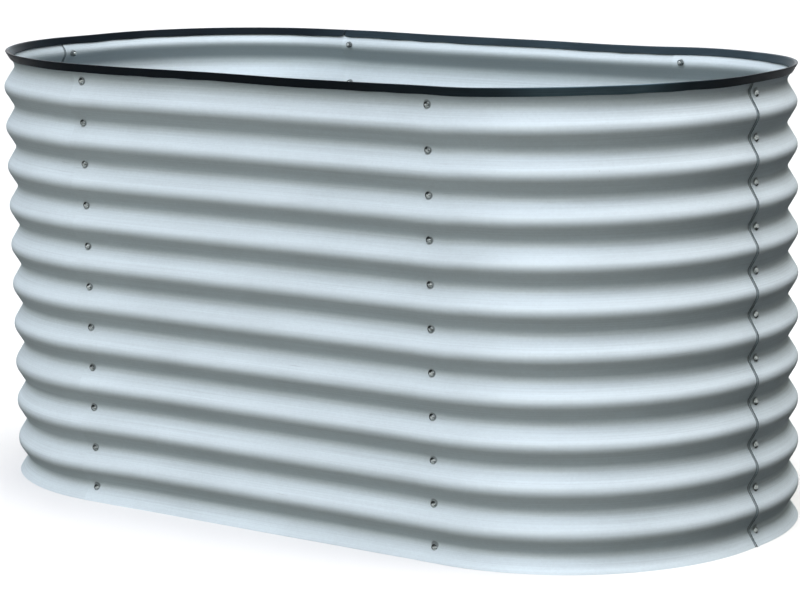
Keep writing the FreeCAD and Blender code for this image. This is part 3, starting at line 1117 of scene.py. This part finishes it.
@dataclass(frozen=True)
class SheetPanel:
    """One corrugated panel of the wall."""

    node: str
    corner: Corner
    opposite: bool
    spring: float
    tuck: float = 1.7 * MM
    held_depth: float = 22.0 * MM
    wave: WaveForm = WaveForm()
    oval: Oval = Oval()
    hang: Hang = Hang()
    spring_reach: float = 19.0 * MM
    bend_step: float = 7.2 * MM
    near_laps: tuple[float, ...] = (0.0, 2.0, 4.5, 8.0, 12.0, 16.0, 20.0)

    def route(self) -> Route:
        """Return the panel's line in plan."""
        if self.corner is Corner.SIDE:
            route = self.oval.side()
        elif self.corner is Corner.SIDE_FIRST:
            route = self.oval.side_first_corner(self.wave.layer)
        else:
            route = self.oval.end_first_corner(self.wave.layer)
        return route.opposite() if self.opposite else route

    def first_place(self) -> float:
        """Return where on the way round the panel starts."""
        oval = self.oval
        starts = {
            Corner.SIDE: -oval.inner_seam,
            Corner.SIDE_FIRST: oval.outer_seam,
            Corner.END_FIRST: oval.bend_start + oval.bend_length + oval.end_flat + oval.end_seam,
        }
        return starts[self.corner] - oval.lap + (oval.half_girth if self.opposite else 0.0)

    def build(self, finishes: list[Material], seams: Array) -> bpy.types.Object:
        """Build the panel as a closed sheet and let it stand for its node.

        In words: a point is the route's point plus the outward direction times the wave's
        offset, the slow warp, and at both edges a quadratic spring that lets the laps stand
        open, held closed by the edging; the waves carry the panel's lift and the top edge
        follows the rim.

        Args:
            finishes: The outer face's finish, the cut edge's and the inner face's.
            seams: The seams' places on the way round.

        Returns:
            The panel.
        """
        route = self.route()
        distance = stations(route.length, np.array(self.near_laps) * MM, self.bend_step)
        foot, outward = route.place(distance)
        girth = self.oval.girth
        around = (self.first_place() + distance)[:, None]
        rows = self.wave.heights()[None, :]
        top = self.wave.height
        lift = self.hang.row_lift(around, rows, girth)
        above = (self.hang.rim_rise(around, girth) - lift) * ease(rows, *self.hang.rim_foot)
        height = rows + lift + above
        warp = self.hang.warp(around, rows, seams, girth)
        spring = self.spring * np.clip(1 - distance / self.spring_reach, 0, 1) ** 2
        tuck = self.tuck * np.clip(1 - (route.length - distance) / self.spring_reach, 0, 1) ** 2
        free = 1 - ease(rows, top - self.held_depth, top - 0.4 * self.held_depth)
        shift = warp + (spring - tuck)[:, None] * free
        uv = np.stack(np.broadcast_arrays(around, self.wave.along(rows[0])[None, :]), axis=-1)
        draft = GridMesh()
        faces = []
        for growth, mark in ((self.wave.thickness / 2, 0), (-self.wave.thickness / 2, 2)):
            offset = self.wave.surface(rows, growth) + shift
            faces.append(stand(foot, outward, offset, height))
            draft.add(faces[-1], uv, mark, inward=mark > 0)
        outer, inner = faces
        for edge, inward in ((np.s_[:, -1], False), (np.s_[:, 0], True), (0, False), (-1, True)):
            draft.add(np.stack([outer[edge], inner[edge]], axis=1), None, 1, inward)
        piece = draft.build(self.node.replace("_panel", "_sheet"), finishes)
        settle(piece, "sheet_steel", self.node)
        return piece


@dataclass(frozen=True)
class Wall:
    """The six panels of the wall."""

    oval: Oval = Oval()

    def seam_places(self) -> Array:
        """Return the seams' places on the way round."""
        oval = self.oval
        end = oval.bend_start + oval.bend_length + oval.end_flat + oval.end_seam
        half = np.array([-oval.inner_seam, oval.outer_seam, end])
        return np.concatenate([half, half + oval.half_girth])

    def panels(self) -> list[SheetPanel]:
        """Return the panels in the order in which they go round."""
        light, open_lap = 0.3 * MM, 2.4 * MM
        return [
            SheetPanel("front_side_panel", Corner.SIDE, False, light),
            SheetPanel("front_right_corner_panel", Corner.SIDE_FIRST, False, light),
            SheetPanel("back_right_corner_panel", Corner.END_FIRST, False, open_lap),
            SheetPanel("back_side_panel", Corner.SIDE, True, light),
            SheetPanel("back_left_corner_panel", Corner.SIDE_FIRST, True, light),
            SheetPanel("front_left_corner_panel", Corner.END_FIRST, True, open_lap),
        ]

    def build(self) -> None:
        """Build and dress every panel."""
        wave = WaveForm()
        rows = wave.heights()
        run = wave.along(rows)
        valley, second = np.interp([wave.first_valley, wave.first_valley + wave.pitch], rows, run)
        places = self.seam_places()
        seams = (*places, places[0] + self.oval.girth)
        ends = (float(places[2]), float(places[5]))
        shape = (tuple(map(float, seams)), ends, float(valley), float(second - valley), float(run[-1]))
        # Painted shade: the outside's downward flanks are darkened by 0.20; the inside is drawn darker
        # overall, a shaded copy, with 0.66 on its downward flanks.
        outer = RolledSheetFinish("rolled_sheet", False, 0.20, *shape).dress()
        inside = {"pale": (0.590, 0.680, 0.705), "dull": (0.460, 0.528, 0.545)}
        inner = RolledSheetFinish("rolled_sheet_inside", True, 0.66, *shape, **inside).dress()
        finishes = [outer, CutEdgeFinish().dress(), inner]
        for panel in self.panels():
            panel.build(finishes, self.seam_places())


# ---------------------------------------------------------------- the rim edging
@dataclass(frozen=True)
class RimEdging:
    """The U-section strip over the top edge, open at one joint on the back side."""

    wave: WaveForm = WaveForm()
    oval: Oval = Oval()
    hang: Hang = Hang()
    outer_lip: float = 14.2 * MM
    inner_lip: float = 12.0 * MM
    wall: float = 1.6 * MM
    clearance: float = 0.15 * MM
    top_round: float = 2.2 * MM
    joint_gap: float = 1.2 * MM
    curl_reach: float = 17.0 * MM
    curl_rise: float = 5.0 * MM
    peel: float = 2.2 * MM
    wobble: float = 0.35 * MM
    step: float = 9.0 * MM
    near_joint: tuple[float, ...] = (0.0, 1.5, 3.5, 6.0, 9.0, 12.5, 17.0, 22.0)

    def section(self) -> tuple[Array, Array]:
        """Return the closed outline of the strip's section.

        In words: up the outer lip, over the rounded top, down the inner lip, round its end,
        up one side of the slot, over its round top and down the other side. Each lip's end
        is a half circle.

        Returns:
            Sideways distances from the sheet's middle surface, and heights below the top.
        """
        slot = self.wave.thickness / 2 + self.wave.layer + self.clearance
        half = slot + self.wall
        tip, slot_top = self.wall / 2, self.wall
        grip = self.clearance + self.wall - tip
        outer, inner = self.outer_lip + grip, self.inner_lip + grip
        bend = np.linspace(0, QUARTER_TURN, 7)
        top = self.top_round
        bend_out, bend_up = top * np.sin(bend), top * np.cos(bend)
        half_bend = np.linspace(0, HALF_TURN, 13)
        round_tip = np.linspace(0, HALF_TURN, 9)
        parts = [
            (np.full(5, half), np.linspace(outer, top, 6)[:-1]),
            (half - top + bend_up, top - bend_out),
            (-half + top - bend_out, top - bend_up),
            (np.full(5, -half), np.linspace(top, inner, 6)[1:]),
            (-half + tip - tip * np.cos(round_tip)[1:], inner + tip * np.sin(round_tip)[1:]),
            (np.full(4, -slot), np.linspace(inner, slot_top + slot, 5)[:-1]),
            (-slot * np.cos(half_bend), slot_top + slot - slot * np.sin(half_bend)),
            (np.full(4, slot), np.linspace(slot_top + slot, outer, 5)[1:]),
            (half - tip - tip * np.cos(round_tip)[:-1], outer + tip * np.sin(round_tip)[:-1]),
        ]
        return tuple(np.concatenate(values) for values in zip(*parts))

    def build(self, seams: Array) -> bpy.types.Object:
        """Carry the section round the rim and let it stand for its node.

        In words: a point's height is the strip's top less its depth, plus the rim's rise; its
        offset is the sheet's middle surface there plus its sideways distance. Near the joint
        the lips shorten along a quarter wave, and the first end's inner lip peels off.

        Args:
            seams: The seams' places on the way round.

        Returns:
            The strip.
        """
        joint = -self.oval.outer_seam - self.oval.lap
        route = self.oval.rim(joint, self.joint_gap)
        distance = stations(route.length, np.array(self.near_joint) * MM, self.step)
        foot, outward = route.place(distance)
        first = self.oval.half_girth - joint + self.joint_gap / 2
        around = (first + distance)[:, None]
        sideways, below = self.section()
        sideways, below = sideways[None, :], below[None, :]
        girth = self.oval.girth
        depth = self.inner_lip + self.clearance + self.wall

        start_share = np.clip(1 - distance / self.curl_reach, 0, 1)[:, None]
        end_share = np.clip(1 - (route.length - distance) / self.curl_reach, 0, 1)[:, None]
        inner = (sideways < 0) * ease(below, 0.2 * depth, depth)
        shorten = self.curl_rise * (start_share**2 + 0.55 * end_share**2) * inner
        peel = self.peel * start_share**1.5 * inner
        sway = np.sin(around * 41.0 + 3 * np.sin(around * 13.0))
        wobble = self.wobble * ease(below, 0.5 * depth, depth) * sway

        level = self.wave.height + self.clearance + self.wall - below + shorten + wobble
        on_sheet = np.minimum(level, self.wave.height)
        lean = np.tan(self.wave.slope(np.array([self.wave.height])))[0]
        warp = self.hang.warp(around, np.full_like(around, self.wave.height), seams, girth)
        offset = self.wave.middle(on_sheet) + (level - on_sheet) * lean + sideways + warp - peel
        points = stand(foot, outward, offset, level + self.hang.rim_rise(around, girth))
        run = run_along(sideways[0], below[0])
        uv = np.stack(np.broadcast_arrays(distance[:, None], run), axis=-1)
        draft = GridMesh()
        draft.add(points, uv, 0, loop_columns=True)
        piece = draft.build("rim_edging_strip", [EdgingFinish().dress()], 55.0)
        self._close_ends(piece, points)
        settle(piece, "edging_rubber", "rim_edging")
        return piece

    @staticmethod
    def _close_ends(piece: bpy.types.Object, points: Array) -> None:
        """Close both open ends of the strip with a face.

        Args:
            piece: The strip.
            points: Its grid of points.
        """
        shell = bmesh.new()
        shell.from_mesh(piece.data)
        open_edges = [edge for edge in shell.edges if edge.is_boundary]
        filled = bmesh.ops.holes_fill(shell, edges=open_edges, sides=0)
        bmesh.ops.triangulate(shell, faces=filled["faces"])
        bmesh.ops.recalc_face_normals(shell, faces=shell.faces)
        shell.to_mesh(piece.data)
        shell.free()


# ---------------------------------------------------------------- the fasteners
@dataclass(frozen=True)
class Seam:
    """One upright seam: where its bolts stand, and which layers the sheets lie on."""

    name: str
    foot: tuple[float, float]
    outward: tuple[float, float]
    outer_layer: int
    inner_layer: int
    strapped: bool
    painted_shade_side: float = LEFT_PAINTED_SHADE


def bed_seams(oval: Oval) -> list[Seam]:
    """Return the six seams.

    Args:
        oval: The bed's plan.

    Returns:
        The seams in the order in which they go round.
    """
    return [
        Seam("front_left", (-oval.inner_seam, -oval.half_width), (0.0, -1.0), 0, -1, True),
        Seam("front_right", (oval.outer_seam, -oval.half_width), (0.0, -1.0), 1, 0, True),
        Seam("right_end", (oval.half_length, oval.end_seam), (1.0, 0.0), 1, 0, False, RIGHT_PAINTED_SHADE),
        Seam("back_right", (oval.inner_seam, oval.half_width), (0.0, 1.0), 0, -1, True),
        Seam("back_left", (-oval.outer_seam, oval.half_width), (0.0, 1.0), 1, 0, True),
        Seam("left_end", (-oval.half_length, -oval.end_seam), (-1.0, 0.0), 1, 0, False),
    ]


@dataclass(frozen=True)
class Fasteners:
    """Dome-head bolts, plain washers and hexagon nuts of all seams.

    Local axes of one fastener: x outwards, y along the wall, z up; x = 0 is the middle layer.
    """

    wave: WaveForm = WaveForm()
    oval: Oval = Oval()
    shank: float = 3.0 * MM
    tail: float = 3.0 * MM
    head_radius: float = 6.3 * MM
    head_height: float = 4.7 * MM
    flange: float = 0.7 * MM
    washer_radius: float = 6.0 * MM
    washer_bore: float = 3.2 * MM
    washer_thickness: float = 1.6 * MM
    nut_flats: float = 10.0 * MM
    nut_thickness: float = 5.0 * MM
    thread_pitch: float = 1.0 * MM
    thread_depth: float = 0.45 * MM
    seat: float = 0.1 * MM
    strap: float = 3.0 * MM
    strap_row: int = 5
    turn_steps: int = 20
    seed: int = 11

    def valley_heights(self) -> Array:
        """Return the heights of the bolts."""
        count = int((self.wave.height - self.wave.first_valley) // self.wave.pitch) + 1
        return self.wave.first_valley + self.wave.pitch * np.arange(count)

    def head_seat(self, seam: Seam) -> float:
        """Return where the head's underside rests, outwards from the middle layer."""
        hollow = self.wave.valley_radius - self.wave.thickness / 2
        sag = hollow - math.sqrt(hollow**2 - self.head_radius**2)
        return seam.outer_layer * self.wave.layer + sag + self.seat

    def under_washer(self, seam: Seam, strapped: bool) -> float:
        """Return where the face under the washer lies, outwards from the middle layer."""
        face = seam.inner_layer * self.wave.layer - self.wave.thickness - self.seat
        return face - self.strap if strapped else face

    def turned(self, along: Array, radius: Array, steps: int) -> Array:
        """Turn a profile about the local x axis.

        In words: the point at angle t is the profile's x, its radius times cosine t, and its
        radius times sine t.

        Args:
            along: The profile's x values.
            radius: Its radii, alike or one to each angle.
            steps: How many angles there are.

        Returns:
            Points (profile, angles, 3).
        """
        angle = np.arange(steps) * FULL_TURN / steps
        radius = np.broadcast_to(radius if radius.ndim == 2 else radius[:, None], (len(along), steps))
        x = np.broadcast_to(along[:, None], radius.shape)
        return np.stack([x, radius * np.cos(angle), radius * np.sin(angle)], axis=-1)

    def bolt(self, seat: float, tail_end: float, threads_from: float, painted_shade_side: float) -> GridMesh:
        """Draft one bolt: a dome on a thin flange, a plain shank and a threaded tail.

        In words: the dome is a circular arc in profile; the thread's radius is a triangle
        wave of x over the pitch plus the angle over a turn.

        Args:
            seat: Where the head's underside is.
            tail_end: Where the tail ends.
            threads_from: Where the visible thread starts.
            grimy_side: The angle of the head's grimy side.

        Returns:
            The draft.
        """
        rim, rise = self.head_radius, self.head_height - self.flange
        dome = (rim**2 + rise**2) / (2 * rise)
        swing = np.linspace(0.0, math.asin(rim / dome), 9)
        x_dome = seat + self.head_height - dome * (1 - np.cos(swing))
        r_dome = dome * np.sin(swing)
        x_head = np.concatenate([x_dome, [seat + self.flange * 0.35, seat, seat, threads_from]])
        r_head = np.concatenate([r_dome, [rim, rim * 0.97, self.shank, self.shank]])
        draft = GridMesh()
        angle = np.arange(self.turn_steps) / self.turn_steps
        turn, way = angle - painted_shade_side / FULL_TURN, run_along(x_head, r_head)
        head_map = np.stack(np.broadcast_arrays(turn[None, :], way[:, None]), axis=-1)
        head = self.turned(x_head, r_head, self.turn_steps)
        draft.add(head, head_map, loop_columns=True, inward=True)
        chamfer = 0.5 * MM
        rows = np.arange(threads_from, tail_end - 1e-9, -self.thread_pitch / 6)
        phase = (rows[:, None] / self.thread_pitch + angle[None, :]) % 1.0
        groove = self.thread_depth * (1 - np.abs(2 * phase - 1))
        limit = self.shank - np.clip(chamfer - (rows - tail_end), 0, chamfer)[:, None]
        radius = np.minimum(self.shank - groove, limit)
        radius[0] = self.shank
        draft.add(self.turned(rows, radius, self.turn_steps), loop_columns=True, inward=True)
        cap_x = np.array([rows[-1], rows[-1]])
        cap_r = np.stack([radius[-1], np.zeros(self.turn_steps)])
        draft.add(self.turned(cap_x, cap_r, self.turn_steps), loop_columns=True, inward=True)
        return draft

    def washer(self, face: float) -> GridMesh:
        """Draft one washer, a ring with eased rims.

        Args:
            face: Where its outer face is.

        Returns:
            The draft.
        """
        back, ease_by = face - self.washer_thickness, 0.25 * MM
        outer, bore = self.washer_radius, self.washer_bore
        x = np.array([face, face, face - ease_by, back + ease_by, back, back, face])
        r = np.array([bore, outer - ease_by, outer, outer, outer - ease_by, bore, bore])
        draft = GridMesh()
        draft.add(self.turned(x, r, 28), loop_columns=True)
        return draft

    def nut(self, face: float) -> GridMesh:
        """Draft one hexagon nut with chamfered corners.

        In words: the hexagon's radius at angle t is half the flats over the cosine of the
        angle from the nearest flat; near both faces a cone cuts it down to the flats.

        Args:
            face: Where its outer face is.

        Returns:
            The draft.
        """
        steps, flat = 36, self.nut_flats / 2
        angle = np.arange(steps) * FULL_TURN / steps
        from_flat = (angle + HALF_TURN / 6) % (HALF_TURN / 3) - HALF_TURN / 6
        hexagon = flat / np.cos(from_flat)
        depth = np.array([0.0, 0.0, 0.25, 0.55, 0.9, 4.1, 4.45, 4.75, 5.0, 5.0, 5.0, 0.0]) * MM
        cut = flat * 0.955 + np.minimum(depth, self.nut_thickness - depth) / math.tan(math.radians(30))
        radius = np.minimum(hexagon[None, :], cut[:, None])
        bore = self.shank + 0.05 * MM
        radius[0] = bore
        radius[1] = np.minimum(hexagon, flat * 0.955)
        radius[9] = radius[8] = np.minimum(hexagon, flat * 0.955)
        radius[10] = radius[11] = bore
        draft = GridMesh()
        draft.add(self.turned(face - depth, radius, steps), loop_columns=True)
        return draft

    def frames(self, seam: Seam, rows: Array, turns: Array) -> tuple[Array, Array]:
        """Work out where the fasteners of one seam stand, each turned about its own axis.

        Args:
            seam: The seam.
            rows: Which valleys.
            turns: The turn at each valley, in radians.

        Returns:
            Matrices (n, 3, 3), whose columns are the local axes, and origins (n, 3).
        """
        out, up = np.array([*seam.outward, 0.0]), np.array([0.0, 0.0, 1.0])
        basis = np.stack([out, np.cross(up, out), up], axis=1)
        cosine, sine = np.cos(turns), np.sin(turns)
        spin = np.zeros((len(rows), 3, 3))
        spin[:, 0, 0] = 1.0
        spin[:, 1, 1], spin[:, 1, 2] = cosine, -sine
        spin[:, 2, 1], spin[:, 2, 2] = sine, cosine
        origins = np.zeros((len(rows), 3))
        origins[:, :2], origins[:, 2] = seam.foot, self.valley_heights()[rows]
        return basis[None] @ spin, origins

    def build(self) -> None:
        """Build bolts, washers and nuts of every seam and let them stand for their nodes."""
        chance = np.random.default_rng(self.seed)
        finishes = {
            "bolts": BoltFinish().dress(),
            # Washers and nuts take the bolts' zinc, drawn darker: painted shade, as they sit inside the
            # bed.
            "washers": BoltFinish("washer_zinc", (0.24, 0.27, 0.27), (0.10, 0.12, 0.12)).dress(),
            "nuts": BoltFinish("nut_zinc", (0.15, 0.175, 0.175), (0.045, 0.055, 0.058)).dress(),
        }
        count = len(self.valley_heights())
        for seam in bed_seams(self.oval):
            turns = chance.uniform(0, HALF_TURN / 3, count)
            wholes = {kind: GridMesh() for kind in finishes}
            on_strap = seam.strapped & (np.arange(count) == self.strap_row)
            for strapped in (False, True):
                rows = np.flatnonzero(on_strap == strapped)
                if not len(rows):
                    continue
                face = self.under_washer(seam, strapped)
                nut_face = face - self.washer_thickness
                back = nut_face - self.nut_thickness
                ends = (self.head_seat(seam), back - self.tail, back + 0.5 * MM)
                bolt = self.bolt(*ends, seam.painted_shade_side)
                drafts = (bolt, self.washer(face), self.nut(nut_face))
                for (kind, whole), draft in zip(wholes.items(), drafts):
                    turned = turns[rows] * (kind != "bolts")
                    whole.add_copies(draft, *self.frames(seam, rows, turned))
            for kind, whole in wholes.items():
                piece = whole.build(f"{seam.name}_{kind}", [finishes[kind]], 32.0)
                settle(piece, "bolt_zinc", f"{seam.name}_seam_{kind}")


@dataclass(frozen=True)
class Straps:
    """The two flat bars across the bed, which keep their CAD shape."""

    nodes: tuple[str, str] = ("left_cross_strap", "right_cross_strap")

    def dress(self) -> None:
        """Give both straps their zinc finish."""
        finish = ZincFinish("strap_zinc").dress()
        for node in self.nodes:
            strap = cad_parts[node]
            strap.data.materials.clear()
            strap.data.materials.append(finish)
            LOG.info("%s: dressed in zinc", node)


# ---------------------------------------------------------------- the studio
def towards(azimuth: float, elevation: float) -> Vector:
    """Return a unit vector: azimuth 0 is the front and 90 the right, in degrees."""
    across, rise = math.radians(azimuth), math.radians(elevation)
    flat = math.cos(rise)
    return Vector((math.sin(across) * flat, -math.cos(across) * flat, math.sin(rise)))


def hang_lamp(lamp: bpy.types.Light, place: Vector, back: Vector) -> bpy.types.Object:
    """Hang a lamp.

    Args:
        lamp: The lamp.
        place: Where it hangs.
        back: The way from what it lights to the lamp.

    Returns:
        The lamp's object.
    """
    holder = link(lamp.name, lamp)
    holder.location = place
    holder.rotation_mode = "QUATERNION"
    holder.rotation_quaternion = back.to_track_quat("Z", "Y")
    return holder


@dataclass(frozen=True)
class SoftSun:
    """One wide soft lamp, far enough away to light the whole studio evenly."""

    name: str
    azimuth: float
    elevation: float
    level: float
    colour: Colour = (1.0, 1.0, 1.0)
    spread: float = 45.0
    distance: float = 6.0

    def hang(self) -> None:
        """Put the lamp in place."""
        lamp = bpy.data.lights.new(self.name, "SUN")
        lamp.energy, lamp.color = math.pi * self.level, self.colour
        lamp.angle = math.radians(self.spread)
        back = towards(self.azimuth, self.elevation)
        hang_lamp(lamp, back * self.distance, back)


@dataclass(frozen=True)
class SoftPanel:
    """One square soft lamp near the bed."""

    name: str
    place: tuple[float, float, float]
    aim: tuple[float, float, float]
    size: float
    power: float
    colour: Colour = (1.0, 1.0, 1.0)

    def hang(self) -> None:
        """Put the lamp in place, turned to its aim."""
        lamp = bpy.data.lights.new(self.name, "AREA")
        lamp.shape = "SQUARE"
        lamp.size, lamp.energy, lamp.color = self.size, self.power, self.colour
        place = Vector(self.place)
        hang_lamp(lamp, place, place - Vector(self.aim)).visible_camera = False


@dataclass(frozen=True)
class Studio:
    """The pale floor, the soft light and the camera."""

    floor_half: float = 60.0
    floor_height: float = 7.3 * MM
    floor_shown: Colour = (0.745, 0.742, 0.704)
    floor_cast: Colour = (0.02, 0.02, 0.02)
    lamps: tuple[Union[SoftSun, SoftPanel], ...] = (
        SoftSun("overhead_lamp", 30.0, 82.0, 0.744, (1.0, 1.0, 1.10)),
        SoftSun("front_key_lamp", 10.0, 55.0, 0.352, (0.96, 1.0, 1.22)),
        SoftSun("rear_high_lamp", 140.0, 68.0, 0.190, (0.98, 1.0, 0.86)),
        SoftSun("front_fill_lamp", 10.0, 25.0, 0.322, (1.01, 1.0, 0.90)),
        SoftSun("right_fill_lamp", 90.0, 25.0, 0.045),
        SoftSun("left_fill_lamp", -75.0, 25.0, 0.072, (0.92, 1.0, 1.10)),
        SoftSun("rear_fill_lamp", 215.0, 22.0, 0.420),
        SoftPanel("right_end_lamp", (1.3, 0.2, 2.7), (0.8, 0.0, 0.4), 1.2, 24.0, (1.06, 1.0, 1.04)),
    )
    focal: float = 3003.0
    frame_width: float = 800.0
    sensor: float = 36.0
    azimuth: float = 37.44
    elevation: float = 10.31
    roll: float = -1.12
    distance: float = 5.368
    target: tuple[float, float, float] = (0.165, -0.184, 0.409)

    def lay_floor(self) -> None:
        """Lay the floor: it shows white, keeps the bed's shadow, and casts little light back."""
        bench = Bench.for_finish("studio_floor")
        colour = bench.tint(bench.seen_share(), self.floor_cast, self.floor_shown)
        mesh = bpy.data.meshes.new("studio_floor")
        signs = ((-1, -1), (1, -1), (1, 1), (-1, 1))
        corners = [(x * self.floor_half, y * self.floor_half, 0.0) for x, y in signs]
        mesh.from_pydata(corners, [], [(0, 1, 2, 3)])
        mesh.materials.append(bench.finish(Base_Color=colour, Roughness=1.0, Specular_IOR_Level=0.0))
        floor = link("studio_floor", mesh)
        floor.location.z = self.floor_height

    def light(self) -> None:
        """Hang the lamps and set the sky: white where it is seen, dark where it would light."""
        for lamp in self.lamps:
            lamp.hang()
        world = bpy.data.worlds.new("studio_sky")
        bpy.context.scene.world = world
        bench = Bench(world)
        unlit, white = (
            bench.node("ShaderNodeBackground", None, {0: (level,) * 3, 1: level}).outputs[0]
            for level in (0.0, 1.0)
        )
        sky = bench.node("ShaderNodeMixShader", None, {0: bench.seen_share(), 1: unlit, 2: white})
        bench.node("ShaderNodeOutputWorld", None, {"Surface": sky.outputs[0]})

    def stand_camera(self) -> None:
        """Stand the camera where the photograph was taken from."""
        across, roll = math.radians(self.azimuth), math.radians(self.roll)
        back = towards(self.azimuth, self.elevation)
        right = Vector((math.cos(across), math.sin(across), 0.0))
        up = back.cross(right)
        rolled_right = right * math.cos(roll) + up * math.sin(roll)
        rolled_up = up * math.cos(roll) - right * math.sin(roll)
        lens = bpy.data.cameras.new("photo_camera")
        lens.sensor_fit = "HORIZONTAL"
        lens.sensor_width = self.sensor
        lens.lens = self.sensor * self.focal / self.frame_width
        lens.clip_start, lens.clip_end = 0.05, 200.0
        camera = link("photo_camera", lens)
        turn = Matrix((rolled_right, rolled_up, back)).transposed().to_4x4()
        camera.matrix_world = Matrix.Translation(Vector(self.target) + back * self.distance) @ turn
        bpy.context.scene.camera = camera

    def build(self) -> None:
        """Set up floor, light, camera and a plain view transform."""
        self.stand_camera()
        self.lay_floor()
        self.light()
        bpy.context.scene.view_settings.view_transform = "Standard"


def main() -> None:
    """Build the bed and its studio."""
    Studio().build()
    wall = Wall()
    wall.build()
    RimEdging().build(wall.seam_places())
    Fasteners().build()
    Straps().dress()


if __name__ == "__main__":
    main()
